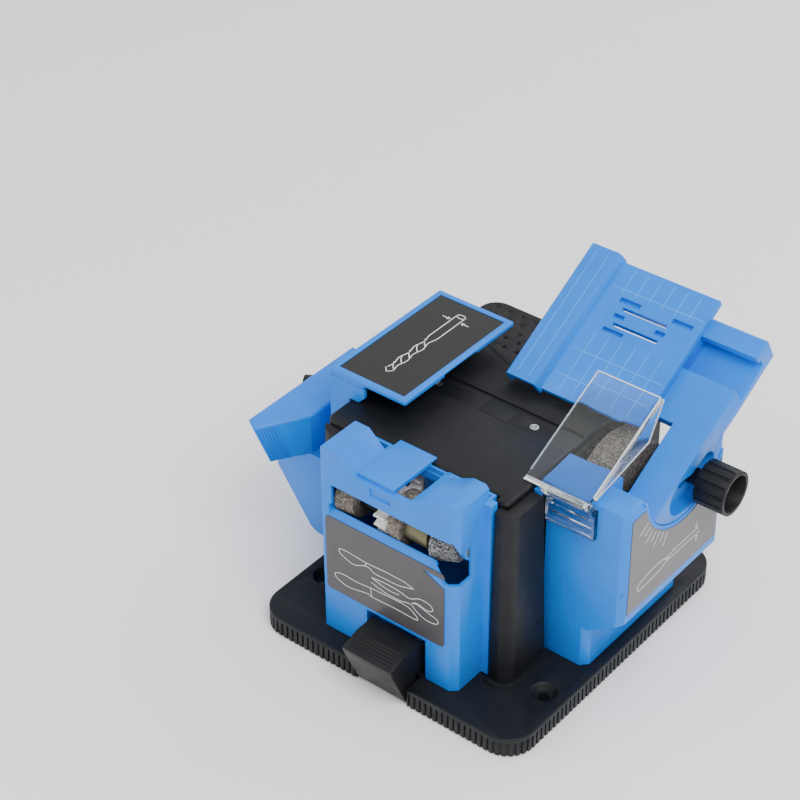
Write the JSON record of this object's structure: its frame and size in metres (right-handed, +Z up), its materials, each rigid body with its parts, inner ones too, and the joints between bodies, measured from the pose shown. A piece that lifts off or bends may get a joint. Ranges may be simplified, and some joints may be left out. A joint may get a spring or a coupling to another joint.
{
  "type": "drill bit sharpener",
  "caption": "Bench sharpening station: motor tower on a slotted-rib base, with plug-on heads for knives and scissors, for chisels on a tilting sliding table, and for drill bits.",
  "frame": {"origin": "centre of the four bench screw holes, in the plane the base stands on", "axes": "+Z up; -Y faces the knife and scissors head; +X faces the chisel head; -X faces the drill head; +Y is the rear with the mains switch and the cord gland"},
  "size_m": [0.3035, 0.2599, 0.2122],
  "materials": {
    "blue_plastic": "satin moulded",
    "black_plastic": "fine-grained moulded",
    "dark_grey_plastic": "fine-grained moulded",
    "knife_label": "printed film",
    "chisel_label": "printed film",
    "drill_label": "printed film",
    "grinding_stone": "sintered abrasive",
    "grey_stone": "sintered abrasive",
    "brass": "turned",
    "steel": "ground",
    "laminated_steel": "varnished stack",
    "copper_winding": "enamelled wire",
    "carbon": "sintered",
    "white_nylon": "moulded",
    "rubber": "moulded",
    "clear_plastic": "clear moulded"
  },
  "bodies": {
    "base": {"base_plate": "dark_grey_plastic", "bottom_cover": "dark_grey_plastic", "bottom_screws": "steel", "rubber_feet": "rubber", "tower_housing": "black_plastic", "top_cover": "black_plastic", "cover_inlay": "dark_grey_plastic", "cover_screws": "steel", "stator_core": "laminated_steel", "field_coils": "copper_winding", "motor_bracket_left": "steel", "motor_bracket_right": "steel", "motor_bearings": "steel", "carbon_brushes": "carbon", "brush_holders": "brass", "drive_belt": "rubber", "lay_shaft_pillars": "white_nylon", "switch_body": "black_plastic", "cord_gland": "rubber", "suppression_capacitor": "white_nylon"},
    "rotor": {"armature_core": "laminated_steel", "motor_shaft": "steel", "armature_windings": "copper_winding", "commutator": "brass", "cooling_fan": "white_nylon", "motor_pulley": "steel", "chisel_wheel": "grinding_stone", "drill_wheel": "grinding_stone", "wheel_flanges_and_nut": "steel"},
    "lay_shaft": {"lay_shaft": "steel", "lay_pulley": "white_nylon", "lay_gear": "white_nylon"},
    "switch_rocker": {"switch_rocker": "black_plastic"},
    "knife_head": {"knife_head_housing": "blue_plastic", "knife_guide_plate": "blue_plastic", "knife_label_plate": "knife_label", "spindle_bushes": "brass", "latch_spring": "steel"},
    "knife_spindle": {"knife_spindle": "steel", "spindle_gear": "white_nylon", "knife_stone_left": "grinding_stone", "knife_stone_middle": "grinding_stone", "scissor_stone_right": "grey_stone", "brass_drum": "brass", "spindle_spacers": "black_plastic"},
    "knife_latch": {"knife_head_latch": "black_plastic"},
    "chisel_head": {"chisel_head_housing": "blue_plastic", "chisel_label_plate": "chisel_label", "shield_clip": "clear_plastic", "clamp_stud": "steel"},
    "tilt_bracket": {"tilt_bracket": "blue_plastic"},
    "sliding_table": {"sliding_table": "blue_plastic"},
    "clamp_knob": {"clamp_knob": "black_plastic"},
    "clear_shield": {"clear_shield": "clear_plastic"},
    "drill_head": {"drill_head_housing": "blue_plastic", "drill_head_lid": "blue_plastic", "drill_label_plate": "drill_label"},
    "drill_guide": {"drill_guide": "blue_plastic"},
    "drill_collet": {"drill_collet": "black_plastic"}
  },
  "joints": [
    {"name": "motor_spin", "type": "hinge", "parent": "base", "child": "rotor", "pos_m": [0, 0.03, 0.106], "axis": [1, 0, 0], "continuous": true},
    {"name": "lay_spin", "type": "hinge", "parent": "base", "child": "lay_shaft", "pos_m": [0, -0.03734, 0.112], "axis": [1, 0, 0], "continuous": true},
    {"name": "switch_rock", "type": "hinge", "parent": "base", "child": "switch_rocker", "pos_m": [-0.04, 0.102, 0.066], "axis": [1, 0, 0], "range_deg": [0, 14]},
    {"name": "knife_head_pull", "type": "slide", "parent": "base", "child": "knife_head", "axis": [0, -1, 0], "range_m": [0, 0.06]},
    {"name": "knife_spin", "type": "hinge", "parent": "knife_head", "child": "knife_spindle", "pos_m": [0, -0.08, 0.12], "axis": [1, 0, 0], "continuous": true},
    {"name": "knife_latch_press", "type": "slide", "parent": "knife_head", "child": "knife_latch", "axis": [0, 1, 0], "range_m": [0, 0.003], "stiffness_N_per_m": 1500, "springref_m": -0.001, "deforming": ["latch_spring"]},
    {"name": "chisel_head_pull", "type": "slide", "parent": "base", "child": "chisel_head", "axis": [1, 0, 0], "range_m": [0, 0.06]},
    {"name": "table_tilt", "type": "hinge", "parent": "chisel_head", "child": "tilt_bracket", "pos_m": [0.109, 0.034, 0.155], "axis": [1, 0, 0], "range_deg": [-14, 14]},
    {"name": "table_slide", "type": "slide", "parent": "tilt_bracket", "child": "sliding_table", "axis": [1, 0, 0], "range_m": [-0.01, 0.035]},
    {"name": "clamp_turn", "type": "hinge", "parent": "chisel_head", "child": "clamp_knob", "pos_m": [0.136, 0.05, 0.131], "axis": [1, 0, 0], "range_deg": [-180, 180]},
    {"name": "shield_flip", "type": "hinge", "parent": "chisel_head", "child": "clear_shield", "pos_m": [0.08, -0.038, 0.151], "axis": [1, 0, 0], "range_deg": [0, 55]},
    {"name": "drill_head_pull", "type": "slide", "parent": "base", "child": "drill_head", "axis": [-1, 0, 0], "range_m": [0, 0.06]},
    {"name": "drill_guide_swing", "type": "hinge", "parent": "drill_head", "child": "drill_guide", "pos_m": [-0.118, 0.008, 0.094], "axis": [0, 0, 1], "range_deg": [-12, 5]},
    {"name": "collet_turn", "type": "hinge", "parent": "drill_guide", "child": "drill_collet", "pos_m": [-0.101, 0.018, 0.109], "axis": [0.8572, 0.515, 0], "range_deg": [-90, 90]}
  ],
  "couplings": [
    {"joint": "lay_spin", "follows": "motor_spin", "ratio": 0.53846},
    {"joint": "knife_spin", "follows": "motor_spin", "ratio": -1.0769}
  ]
}
